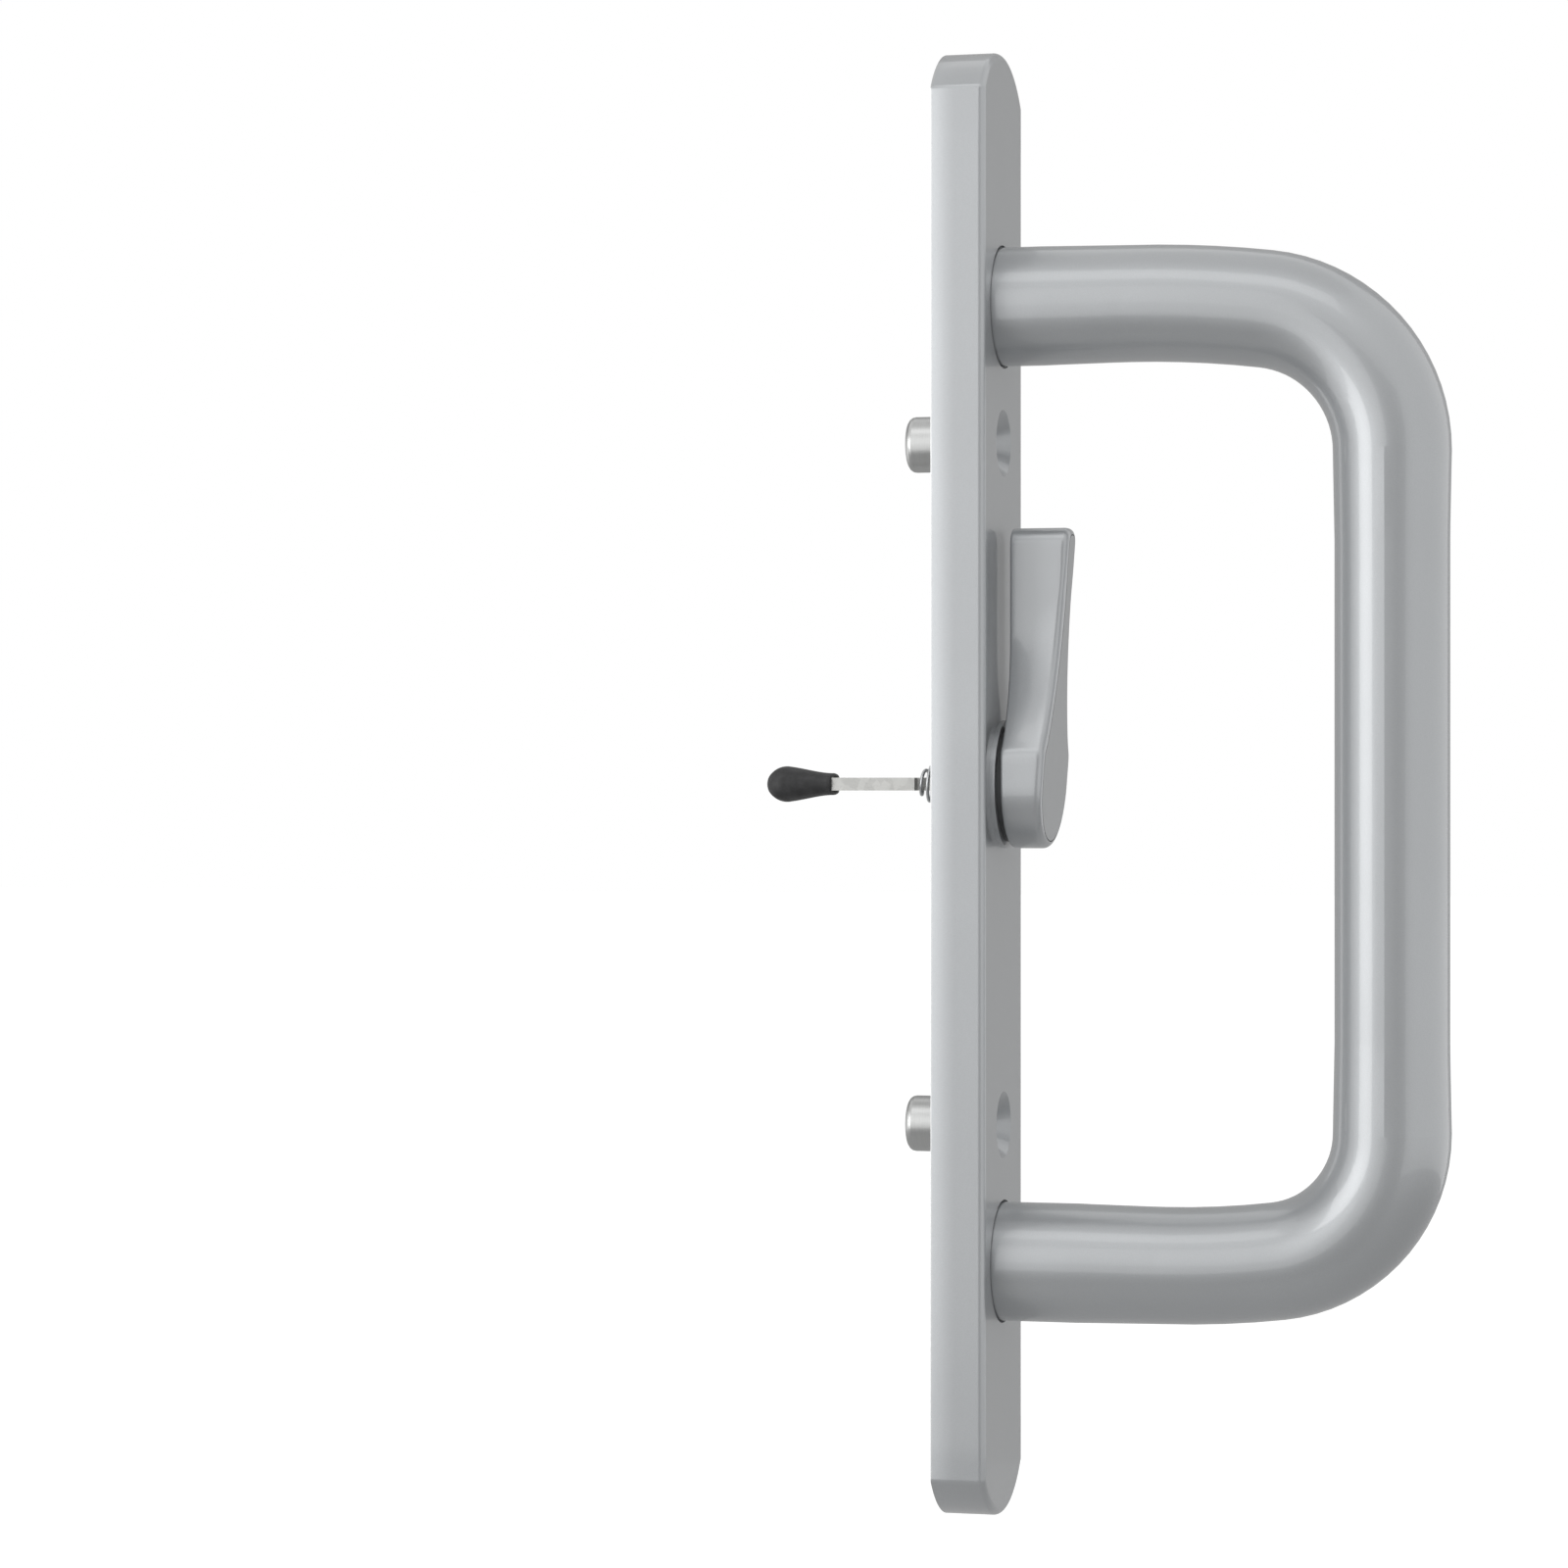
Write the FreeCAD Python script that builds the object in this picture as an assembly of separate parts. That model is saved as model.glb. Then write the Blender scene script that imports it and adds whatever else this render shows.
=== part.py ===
import FreeCAD, Part
import math
import os

# Interior handle of a sliding patio door, in millimetres.
# +Z is up and the room side faces -Y. The door face is the plane y = 0 and the spindle axis is the
# Y axis, so the origin is on the spindle at the door face. A size called "out" is the distance from
# the door face towards the room.

# Escutcheon plate: a shallow die casting, open at the back
PLATE_LENGTH = 214.2
PLATE_WIDTH = 25.4
PLATE_THICKNESS = 8.0
PLATE_EDGE_RADIUS = 1.0
PLATE_SIDE_WALL = 2.4
PLATE_FRONT_WALL = 2.5
RIB_THICKNESS = 1.5
RIB_SETBACK = 1.2
RIB_PITCH = 19.0

# Hollow locating posts that the door screws pass through
SCREW_SPACING = 100.0
POST_DIAMETER = 8.2
POST_LENGTH = 6.1
POST_TIP_RADIUS = 1.0
POST_TIP_STEPS = 4
POST_BASE_WALL = 2.2
DOOR_SCREW_HOLE = 5.3
COUNTERSINK_DIAMETER = 9.8
COUNTERSINK_ANGLE = 82.0

# D-shaped pull: straight legs, a gentle shoulder before each corner and a straight grip. It thins
# by short tapers before and after each bend. The two bends differ a little, so the radii of
# shoulder and corner are given as (upper, lower).
PULL_SPACING = 140.0
PULL_REACH = 65.1
LEG_DIAMETER = 17.4
BEND_DIAMETER = 17.0
GRIP_DIAMETER = 16.5
TAPER_LENGTH = 13.0
SHOULDER_RADII = (154.0, 128.0)
CORNER_RADII = (21.0, 19.0)
SHOULDER_ANGLE = 7.4
LEG_RECESS_DEPTH = 1.0
LEG_RECESS_GAP = 0.32
LEG_BASE_CHAMFER = 0.3

# Screws that hold the pull from behind the plate
PULL_SCREW_DIAMETER = 6.0
PULL_SCREW_GRIP_LENGTH = 11.0
PULL_SCREW_HEAD_DIAMETER = 10.0
PULL_SCREW_HEAD_HEIGHT = 2.8
PULL_SCREW_HEX = 4.0
PULL_SCREW_HEX_DEPTH = 1.7
PULL_SCREW_HOLE_CLEARANCE = 0.3
TAPPED_HOLE_SPARE = 2.5
PULL_PAD_THICKNESS = 2.6
PULL_COUNTERBORE_GAP = 1.0
PULL_PAD_WALL = 1.9
LOCK_WASHER_THICKNESS = 1.2
LOCK_WASHER_DIAMETER = 11.0
LOCK_WASHER_SLIT = 0.9

# Seat of the latch lever on the plate
COLLAR_DIAMETER = 18.8
COLLAR_HEIGHT = 0.7
INNER_HUB_DIAMETER = 17.6
INNER_HUB_HEIGHT = 0.9
BUSH_FLANGE_DIAMETER = 16.8
BUSH_FLANGE_THICKNESS = 0.75
BUSH_WALL = 1.2

# Latch lever
LEVER_HUB_DIAMETER = 18.2
LEVER_HUB_SHOULDER = 4.6
LEVER_TIP_HEIGHT = 37.45
LEVER_PADDLE_WIDTH = 6.0
LEVER_SCOOP_START_BACK = 21.0
LEVER_SCOOP_START_FRONT = 30.0
LEVER_HUB_DEPTH = 6.0
LEVER_FRONT_SLOPE = 4.2
LEVER_EDGE_BEVEL = 0.9
LEVER_BACK_BEVEL = 0.4
SHANK_DIAMETER = 10.0
SHANK_END_SETBACK = 1.0

# Friction washer and retaining ring behind the plate
FRICTION_WASHER_THICKNESS = 0.6
FRICTION_WASHER_DIAMETER = 14.6
RING_THICKNESS = 0.7
RING_DIAMETER = 14.0
RING_GROOVE_DEPTH = 0.7
RING_MOUTH = 6.6
RING_NOTCH_DIAMETER = 2.2

# Tailpiece, its cross pin, its take-up spring and its soft cap
BAR_WIDTH = 4.6
BAR_THICKNESS = 1.9
BAR_REACH = 25.6
BAR_INSERTION = 6.5
BAR_NOTCH_DEPTH = 1.4
BAR_TIP_CHAMFER = 0.4
PIN_DIAMETER = 1.5
PIN_OUT = 6.2
SPRING_WIRE = 0.5
SPRING_LARGE_DIAMETER = 8.4
SPRING_SMALL_DIAMETER = 3.2
SPRING_LENGTH = 5.4
SPRING_TURNS = 4.0
SPRING_POINTS_PER_TURN = 12
CAP_LENGTH = 10.0
CAP_END_WALL = 1.9
CAP_MOUTH_WALL = 0.7
CAP_BULB_DIAMETER = 5.3
CAP_BULB_STEPS = 4

# Clearances
RUNNING_GAP = 0.05
SEAT_GAP = 0.02
AXIAL_GAP = 0.05
SLOT_GAP = 0.1

# Places that follow from the sizes above
SCREW_HEIGHTS = (SCREW_SPACING / 2, -SCREW_SPACING / 2)
PULL_HEIGHTS = (PULL_SPACING / 2, -PULL_SPACING / 2)
CAVITY_OUT = PLATE_THICKNESS - PLATE_FRONT_WALL
LEG_SEAT_OUT = PLATE_THICKNESS - LEG_RECESS_DEPTH
PULL_PAD_OUT = LEG_SEAT_OUT - PULL_PAD_THICKNESS
PULL_HEAD_OUT = PULL_PAD_OUT - LOCK_WASHER_THICKNESS
PULL_COUNTERBORE_RADIUS = PULL_SCREW_HEAD_DIAMETER / 2 + PULL_COUNTERBORE_GAP
COLLAR_OUT = PLATE_THICKNESS + COLLAR_HEIGHT
INNER_HUB_OUT = CAVITY_OUT - INNER_HUB_HEIGHT
SHANK_RADIUS = SHANK_DIAMETER / 2
BUSH_BORE_RADIUS = SHANK_RADIUS + RUNNING_GAP
BUSH_RADIUS = BUSH_BORE_RADIUS + BUSH_WALL
LEVER_BACK_OUT = COLLAR_OUT + BUSH_FLANGE_THICKNESS + 2 * AXIAL_GAP
LEVER_HUB_RADIUS = LEVER_HUB_DIAMETER / 2
RING_FRONT_OUT = INNER_HUB_OUT - FRICTION_WASHER_THICKNESS - 2 * AXIAL_GAP
RING_BACK_OUT = RING_FRONT_OUT - RING_THICKNESS
RING_GROOVE_RADIUS = SHANK_RADIUS - RING_GROOVE_DEPTH
SPRING_SEAT_OUT = SHANK_END_SETBACK
SPRING_TIP_OUT = SPRING_SEAT_OUT - SPRING_LENGTH
BAR_HEAD_OUT = SHANK_END_SETBACK + BAR_INSERTION
CAP_TIP_OUT = -BAR_REACH - CAP_END_WALL


def at(x, out, z):
    """A point given by its distance out from the door face."""
    return FreeCAD.Vector(x, -out, z)


def rod(diameter, back, front, z=0.0):
    """A cylinder square to the door face, between two distances out."""
    return Part.makeCylinder(diameter / 2, front - back, at(0, back, z), FreeCAD.Vector(0, -1, 0))


def block(width, height, back, front, z=0.0):
    """A box centred on x = 0 and on height z."""
    return Part.makeBox(width, front - back, height, at(-width / 2, front, z - height / 2))


def turned(outline):
    """A solid of revolution about the spindle axis, from (radius, out) corners."""
    corners = [at(radius, out, 0) for radius, out in outline]
    face = Part.Face(Part.makePolygon(corners + corners[:1]))
    return face.revolve(FreeCAD.Vector(0, 0, 0), FreeCAD.Vector(0, 1, 0), 360)


def fused(shapes):
    """Several touching solids as one."""
    return shapes[0].fuse(shapes[1:]).removeSplitter()


def edges_at_out(shape, out):
    """The edges that lie wholly in the plane at one distance out."""
    return [e for e in shape.Edges if abs(e.BoundBox.YMin + out) < 1e-4 and abs(e.BoundBox.YMax + out) < 1e-4]


def stadium(length, width, back, front):
    """A bar with half-round ends, upright and centred on the spindle."""
    straight = length - width
    ends = [rod(width, back, front, end * straight / 2) for end in (1, -1)]
    return fused([block(width, straight, back, front)] + ends)


# Escutcheon plate

def plate_shell():
    """The outer tray of the plate, with a rounded front edge and an open back."""
    tray = stadium(PLATE_LENGTH, PLATE_WIDTH, 0, PLATE_THICKNESS)
    tray = tray.makeFillet(PLATE_EDGE_RADIUS, edges_at_out(tray, PLATE_THICKNESS))
    return tray.cut(plate_cavity())


def plate_cavity():
    """The hollow that the core leaves in the back of the plate."""
    shrink = 2 * PLATE_SIDE_WALL
    return stadium(PLATE_LENGTH - shrink, PLATE_WIDTH - shrink, 0, CAVITY_OUT)


def plate_ribs():
    """Cross ribs along the cavity and one rib down its middle."""
    free_length = PLATE_LENGTH - PLATE_WIDTH
    count = int(free_length / RIB_PITCH / 2)
    ribs = []
    for step in range(-count, count + 1):
        ribs.append(block(PLATE_WIDTH, RIB_THICKNESS, RIB_SETBACK, CAVITY_OUT, step * RIB_PITCH))
    ribs.append(block(RIB_THICKNESS, PLATE_LENGTH, RIB_SETBACK, CAVITY_OUT))
    return fused(ribs).common(plate_cavity())


def screw_post(z):
    """A locating post with its base in the cavity, before it is drilled."""
    tip_angles = [math.radians(90 * step / POST_TIP_STEPS) for step in range(POST_TIP_STEPS + 1)]
    shoulder_radius = POST_DIAMETER / 2 - POST_TIP_RADIUS
    shoulder_out = POST_TIP_RADIUS - POST_LENGTH
    outline = [(0, CAVITY_OUT), (0, -POST_LENGTH)]
    outline += [(shoulder_radius + POST_TIP_RADIUS * math.sin(a), shoulder_out - POST_TIP_RADIUS * math.cos(a))
                for a in tip_angles]
    outline.append((POST_DIAMETER / 2, CAVITY_OUT))
    base = rod(POST_DIAMETER + 2 * POST_BASE_WALL, 0, CAVITY_OUT, z)
    return fused([turned(outline).translated(FreeCAD.Vector(0, 0, z)), base])


def screw_hole(z):
    """A clearance hole through plate and post, countersunk from the room side."""
    hole_radius = DOOR_SCREW_HOLE / 2
    sink_radius = COUNTERSINK_DIAMETER / 2
    depth = (sink_radius - hole_radius) / math.tan(math.radians(COUNTERSINK_ANGLE / 2))
    bore = rod(DOOR_SCREW_HOLE, -POST_LENGTH, PLATE_THICKNESS, z)
    sink = Part.makeCone(hole_radius, sink_radius, depth, at(0, PLATE_THICKNESS - depth, z),
                         FreeCAD.Vector(0, -1, 0))
    return fused([bore, sink])


def pull_pad(z):
    """The pad behind a leg of the pull, with a wall round its screw head."""
    return rod(2 * (PULL_COUNTERBORE_RADIUS + PULL_PAD_WALL), 0, LEG_SEAT_OUT, z)


def pull_seat(z):
    """The recess for a leg, its screw hole and the counterbore behind it."""
    recess = rod(LEG_DIAMETER + 2 * LEG_RECESS_GAP, LEG_SEAT_OUT, PLATE_THICKNESS, z)
    hole = rod(PULL_SCREW_DIAMETER + 2 * PULL_SCREW_HOLE_CLEARANCE, 0, LEG_SEAT_OUT, z)
    counterbore = rod(2 * PULL_COUNTERBORE_RADIUS, 0, PULL_PAD_OUT, z)
    return fused([recess, hole, counterbore])


def spindle_seat():
    """The collar on the front of the plate and the hub inside its cavity."""
    collar = rod(COLLAR_DIAMETER, CAVITY_OUT, COLLAR_OUT)
    hub = rod(INNER_HUB_DIAMETER, INNER_HUB_OUT, CAVITY_OUT)
    return fused([collar, hub])


def mechanism_pocket():
    """The space behind the hub that the ribs leave for the friction washer and the ring."""
    return rod(INNER_HUB_DIAMETER, 0, INNER_HUB_OUT)


def escutcheon_plate():
    """The whole plate casting."""
    solids = [plate_shell(), plate_ribs().cut(mechanism_pocket()), spindle_seat()]
    solids += [screw_post(z) for z in SCREW_HEIGHTS]
    solids += [pull_pad(z) for z in PULL_HEIGHTS]
    cuts = [screw_hole(z) for z in SCREW_HEIGHTS]
    cuts += [pull_seat(z) for z in PULL_HEIGHTS]
    cuts.append(rod(2 * (BUSH_RADIUS + SEAT_GAP), INNER_HUB_OUT, COLLAR_OUT))
    return fused(solids).cut(cuts).removeSplitter()


# Pull

def pull_leg(bend_out):
    """An upper leg with its tapped hole, from its seat to the bend."""
    radius = LEG_DIAMETER / 2
    leg = turned([(0, LEG_SEAT_OUT), (radius - LEG_BASE_CHAMFER, LEG_SEAT_OUT),
                  (radius, LEG_SEAT_OUT + LEG_BASE_CHAMFER), (radius, bend_out - TAPER_LENGTH),
                  (BEND_DIAMETER / 2, bend_out), (0, bend_out)])
    tapped = rod(PULL_SCREW_DIAMETER + 2 * SEAT_GAP, LEG_SEAT_OUT,
                 LEG_SEAT_OUT + PULL_SCREW_GRIP_LENGTH + TAPPED_HOLE_SPARE)
    return leg.cut(tapped).translated(FreeCAD.Vector(0, 0, PULL_SPACING / 2))


def pull_end(shoulder_radius, corner_radius):
    """An upper end of the pull: the leg, its shoulder, the corner, and the grip down to z = 0."""
    turn = math.radians(SHOULDER_ANGLE)
    centres_apart = shoulder_radius - corner_radius
    corner_out = PULL_REACH - corner_radius
    bend_out = corner_out - centres_apart * math.sin(turn)
    shoulder_z = PULL_SPACING / 2 - shoulder_radius
    corner_z = shoulder_z + centres_apart * math.cos(turn)

    sideways = FreeCAD.Vector(1, 0, 0)
    downward = FreeCAD.Vector(0, 0, -1)
    start = at(0, bend_out, PULL_SPACING / 2)
    section = Part.Face(Part.Wire(Part.makeCircle(BEND_DIAMETER / 2, start, FreeCAD.Vector(0, -1, 0))))
    shoulder_centre = at(0, bend_out, shoulder_z)
    shoulder = section.revolve(shoulder_centre, sideways, SHOULDER_ANGLE)
    shoulder_end = section.rotated(shoulder_centre, sideways, SHOULDER_ANGLE)
    corner = shoulder_end.revolve(at(0, corner_out, corner_z), sideways, 90 - SHOULDER_ANGLE)
    taper = Part.makeCone(BEND_DIAMETER / 2, GRIP_DIAMETER / 2, TAPER_LENGTH, at(0, PULL_REACH, corner_z), downward)
    grip_z = corner_z - TAPER_LENGTH
    grip = Part.makeCylinder(GRIP_DIAMETER / 2, grip_z, at(0, PULL_REACH, grip_z), downward)
    return fused([pull_leg(bend_out), shoulder, corner, taper, grip])


def d_pull():
    """The pull: two legs, two bends and the grip in one piece, with a tapped hole in each leg."""
    upper, lower = [pull_end(*radii) for radii in zip(SHOULDER_RADII, CORNER_RADII)]
    return fused([upper, lower.mirror(FreeCAD.Vector(0, 0, 0), FreeCAD.Vector(0, 0, 1))])


def pull_screw(z):
    """A low-head socket screw, from behind the plate into a leg."""
    radius = PULL_SCREW_DIAMETER / 2
    head_radius = PULL_SCREW_HEAD_DIAMETER / 2
    head_back = PULL_HEAD_OUT - PULL_SCREW_HEAD_HEIGHT
    tip = LEG_SEAT_OUT + PULL_SCREW_GRIP_LENGTH
    bevel = PULL_SCREW_HEAD_HEIGHT / 6
    screw = turned([(0, head_back), (head_radius - bevel, head_back), (head_radius, head_back + bevel),
                    (head_radius, PULL_HEAD_OUT), (radius, PULL_HEAD_OUT), (radius, tip), (0, tip)])
    return screw.cut(hex_socket(head_back)).translated(FreeCAD.Vector(0, 0, z))


def hex_socket(back):
    """The hexagonal key hole in a screw head."""
    corner = PULL_SCREW_HEX / math.sqrt(3)
    angles = [math.radians(60 * side) for side in range(7)]
    hexagon = Part.makePolygon([at(corner * math.cos(a), back, corner * math.sin(a)) for a in angles])
    return Part.Face(hexagon).extrude(FreeCAD.Vector(0, -PULL_SCREW_HEX_DEPTH, 0))


def pull_lock_washer(z):
    """A split lock washer under a screw head."""
    hole = PULL_SCREW_DIAMETER + 2 * SLOT_GAP
    washer = rod(LOCK_WASHER_DIAMETER, PULL_HEAD_OUT, PULL_PAD_OUT).cut(rod(hole, PULL_HEAD_OUT, PULL_PAD_OUT))
    slit = block(LOCK_WASHER_SLIT, LOCK_WASHER_DIAMETER, PULL_HEAD_OUT, PULL_PAD_OUT, LOCK_WASHER_DIAMETER / 2)
    return washer.cut(slit).translated(FreeCAD.Vector(0, 0, z))


# Latch lever and what holds it

def lever_bushing():
    """The flanged bush that the shank of the lever turns in."""
    flange_back = COLLAR_OUT + AXIAL_GAP / 2
    flange_front = flange_back + BUSH_FLANGE_THICKNESS
    flange_radius = BUSH_FLANGE_DIAMETER / 2
    return turned([(BUSH_BORE_RADIUS, INNER_HUB_OUT), (BUSH_RADIUS, INNER_HUB_OUT), (BUSH_RADIUS, flange_back),
                   (flange_radius, flange_back), (flange_radius, flange_front), (BUSH_BORE_RADIUS, flange_front)])


def lever_outline(scoop_start, out):
    """The front view of the lever: a round hub, a scooped flank each side and a narrow paddle."""
    half = LEVER_PADDLE_WIDTH / 2
    hub = LEVER_HUB_RADIUS
    rise = scoop_start - LEVER_HUB_SHOULDER
    spread = hub - half
    scoop_radius = (rise ** 2 + spread ** 2) / (2 * spread)
    half_turn = math.asin(rise / scoop_radius) / 2
    middle_x = half + scoop_radius * (1 - math.cos(half_turn))
    middle_z = scoop_start - scoop_radius * math.sin(half_turn)

    def line(x0, z0, x1, z1):
        return Part.makeLine(at(x0, out, z0), at(x1, out, z1))

    def scoop(side, first, last):
        ends = [at(side * x, out, z) for x, z in (first, (middle_x, middle_z), last)]
        return Part.Arc(*ends).toShape()

    paddle_foot = (half, scoop_start)
    hub_corner = (hub, LEVER_HUB_SHOULDER)
    return Part.Wire([
        line(-half, LEVER_TIP_HEIGHT, half, LEVER_TIP_HEIGHT),
        line(half, LEVER_TIP_HEIGHT, half, scoop_start),
        scoop(1, paddle_foot, hub_corner),
        line(hub, LEVER_HUB_SHOULDER, hub, 0),
        Part.Arc(at(hub, out, 0), at(0, out, -hub), at(-hub, out, 0)).toShape(),
        line(-hub, 0, -hub, LEVER_HUB_SHOULDER),
        scoop(-1, hub_corner, paddle_foot),
        line(-half, scoop_start, -half, LEVER_TIP_HEIGHT),
    ])


def lever_front_trim():
    """What lies in front of the sloping front face of the lever."""
    slope = math.tan(math.radians(LEVER_FRONT_SLOPE))
    hub_front = LEVER_BACK_OUT + LEVER_HUB_DEPTH
    reach = LEVER_TIP_HEIGHT * 2
    far = hub_front + reach
    corners = [at(-reach, hub_front - slope * reach, -reach), at(-reach, hub_front + slope * reach, reach),
               at(-reach, far, reach), at(-reach, far, -reach)]
    face = Part.Face(Part.makePolygon(corners + corners[:1]))
    return face.extrude(FreeCAD.Vector(2 * reach, 0, 0))


def lever_body():
    """The hub and paddle of the lever, with rounded edges."""
    slope = math.tan(math.radians(LEVER_FRONT_SLOPE))
    front = LEVER_BACK_OUT + LEVER_HUB_DEPTH + slope * LEVER_TIP_HEIGHT
    outlines = [lever_outline(LEVER_SCOOP_START_BACK, LEVER_BACK_OUT), lever_outline(LEVER_SCOOP_START_FRONT, front)]
    body = Part.makeLoft(outlines, True, True).cut(lever_front_trim())
    front_edges = [e for e in body.Edges if e.BoundBox.YMax < -LEVER_BACK_OUT - LEVER_HUB_DEPTH / 2]
    tip_edges = [e for e in body.Edges
                 if e.BoundBox.ZMin > LEVER_TIP_HEIGHT - 1e-4 and e.BoundBox.XLength < 1e-4]
    body = body.makeChamfer(LEVER_EDGE_BEVEL, front_edges + tip_edges)
    return body.makeChamfer(LEVER_BACK_BEVEL, edges_at_out(body, LEVER_BACK_OUT))


def latch_lever():
    """The lever casting with its shank, ring groove, tailpiece slot and pin hole."""
    shank = rod(SHANK_DIAMETER, SHANK_END_SETBACK, LEVER_BACK_OUT + 1)
    groove_back = RING_BACK_OUT - AXIAL_GAP
    groove_front = RING_FRONT_OUT + AXIAL_GAP
    groove = rod(2 * SHANK_DIAMETER, groove_back, groove_front).cut(
        rod(2 * RING_GROOVE_RADIUS, groove_back, groove_front))
    slot = block(BAR_WIDTH + 2 * SLOT_GAP, BAR_THICKNESS + 2 * SLOT_GAP, SHANK_END_SETBACK, BAR_HEAD_OUT + SLOT_GAP)
    pin_hole = Part.makeCylinder(PIN_DIAMETER / 2 + SEAT_GAP, SHANK_DIAMETER, at(0, PIN_OUT, -SHANK_RADIUS))
    return fused([lever_body(), shank]).cut([groove, slot, pin_hole]).removeSplitter()


def friction_washer():
    """The washer between the inner hub and the retaining ring, which the lever turns against."""
    front = INNER_HUB_OUT - AXIAL_GAP
    back = front - FRICTION_WASHER_THICKNESS
    return rod(FRICTION_WASHER_DIAMETER, back, front).cut(rod(SHANK_DIAMETER + 2 * SLOT_GAP, back, front))


def retaining_ring():
    """The spring clip in the groove of the shank."""
    bore = RING_GROOVE_RADIUS + RUNNING_GAP
    ring = rod(RING_DIAMETER, RING_BACK_OUT, RING_FRONT_OUT).cut(rod(2 * bore, RING_BACK_OUT, RING_FRONT_OUT))
    mouth = block(RING_MOUTH, RING_DIAMETER, RING_BACK_OUT, RING_FRONT_OUT, -RING_DIAMETER / 2)
    notches = []
    for angle in (-20, 90, 200):
        x = bore * math.cos(math.radians(angle))
        z = bore * math.sin(math.radians(angle))
        notch = rod(RING_NOTCH_DIAMETER, RING_BACK_OUT, RING_FRONT_OUT)
        notches.append(notch.translated(FreeCAD.Vector(x, 0, z)))
    return ring.cut([mouth] + notches)


# Tailpiece

def tailpiece_bar():
    """The flat bar that turns the lock, notched where the spring grips it."""
    bar = block(BAR_WIDTH, BAR_THICKNESS, -BAR_REACH, BAR_HEAD_OUT)
    tip_edges = [e for e in edges_at_out(bar, -BAR_REACH) if e.BoundBox.XLength < 1e-4]
    bar = bar.makeChamfer(BAR_TIP_CHAMFER, tip_edges)
    hole = Part.makeCylinder(PIN_DIAMETER / 2 + SEAT_GAP, BAR_THICKNESS, at(0, PIN_OUT, -BAR_THICKNESS / 2))
    notch_length = SPRING_WIRE + 2 * SPRING_LENGTH / SPRING_TURNS
    notches = block(2 * BAR_WIDTH, BAR_THICKNESS, SPRING_TIP_OUT - SPRING_WIRE, SPRING_TIP_OUT + notch_length)
    neck = BAR_WIDTH - 2 * BAR_NOTCH_DEPTH
    notches = notches.cut(block(neck, BAR_THICKNESS, SPRING_TIP_OUT - SPRING_WIRE, SPRING_TIP_OUT + notch_length))
    return bar.cut([hole, notches])


def tailpiece_pin():
    """The cross pin that keeps the bar in the shank."""
    length = SHANK_DIAMETER - 4 * SLOT_GAP
    return Part.makeCylinder(PIN_DIAMETER / 2, length, at(0, PIN_OUT, -length / 2))


def tailpiece_spring():
    """The conical spring between the end of the shank and the notches in the bar."""
    wire_radius = SPRING_WIRE / 2
    large = SPRING_LARGE_DIAMETER / 2 - wire_radius
    small = SPRING_SMALL_DIAMETER / 2
    first_out = SPRING_SEAT_OUT - wire_radius - SEAT_GAP
    last_out = SPRING_TIP_OUT + wire_radius

    def coil_point(share):
        angle = 2 * math.pi * SPRING_TURNS * share
        radius = large + (small - large) * share
        return at(radius * math.cos(angle), first_out + (last_out - first_out) * share, radius * math.sin(angle))

    count = round(SPRING_TURNS * SPRING_POINTS_PER_TURN)
    coil = Part.BSplineCurve()
    coil.interpolate([coil_point(step / count) for step in range(count + 1)])
    start, heading = coil.value(coil.FirstParameter), coil.tangent(coil.FirstParameter)[0]
    across = heading.cross(FreeCAD.Vector(0, 1, 0)).normalize() * wire_radius
    along = heading.cross(across)
    sides = [math.radians(60 * side) for side in range(7)]
    section = Part.makePolygon([start + across * math.cos(a) + along * math.sin(a) for a in sides])
    return Part.Wire(coil.toShape()).makePipeShell([section], True, False)


def tailpiece_cap():
    """The soft cap on the end of the bar: a flat neck that swells to a round-ended bulb."""
    neck = BAR_THICKNESS / 2 + CAP_MOUTH_WALL
    bulb = CAP_BULB_DIAMETER / 2
    bulb_out = CAP_TIP_OUT + bulb
    mouth_out = CAP_TIP_OUT + CAP_LENGTH
    side_shift = (BAR_WIDTH - BAR_THICKNESS) / 2
    dome = [math.radians(90 * step / CAP_BULB_STEPS) for step in range(CAP_BULB_STEPS + 1)]
    outline = [(0, mouth_out), (neck, mouth_out), ((2 * neck + bulb) / 3, (bulb_out + mouth_out) / 2)]
    outline += [(bulb * math.cos(a), bulb_out - bulb * math.sin(a)) for a in dome]
    edge = [at(0, out, radius) for radius, out in outline] + [at(0, out, -radius) for radius, out in outline[1:-1][::-1]]
    flat = Part.Face(Part.makePolygon(edge + edge[:1])).extrude(FreeCAD.Vector(2 * side_shift, 0, 0))
    sides = [turned(outline).translated(FreeCAD.Vector(side * side_shift, 0, 0)) for side in (1, -1)]
    body = fused([flat.translated(FreeCAD.Vector(-side_shift, 0, 0))] + sides)
    pocket = block(BAR_WIDTH + 2 * SEAT_GAP, BAR_THICKNESS + 2 * SEAT_GAP, -BAR_REACH - SEAT_GAP, mouth_out)
    return body.cut(pocket)


def save(name, shape):
    """Write one piece as a STEP file."""
    shape.exportStep("parts/" + name + ".step")


os.makedirs("parts", exist_ok=True)
save("escutcheon_plate", escutcheon_plate())
save("d_pull", d_pull())
for place, z in zip(("upper", "lower"), PULL_HEIGHTS):
    save("pull_screw_" + place, pull_screw(z))
    save("pull_lock_washer_" + place, pull_lock_washer(z))
save("lever_bushing", lever_bushing())
save("latch_lever", latch_lever())
save("friction_washer", friction_washer())
save("retaining_ring", retaining_ring())
save("tailpiece_bar", tailpiece_bar())
save("tailpiece_pin", tailpiece_pin())
save("tailpiece_spring", tailpiece_spring())
save("tailpiece_cap", tailpiece_cap())
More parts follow.
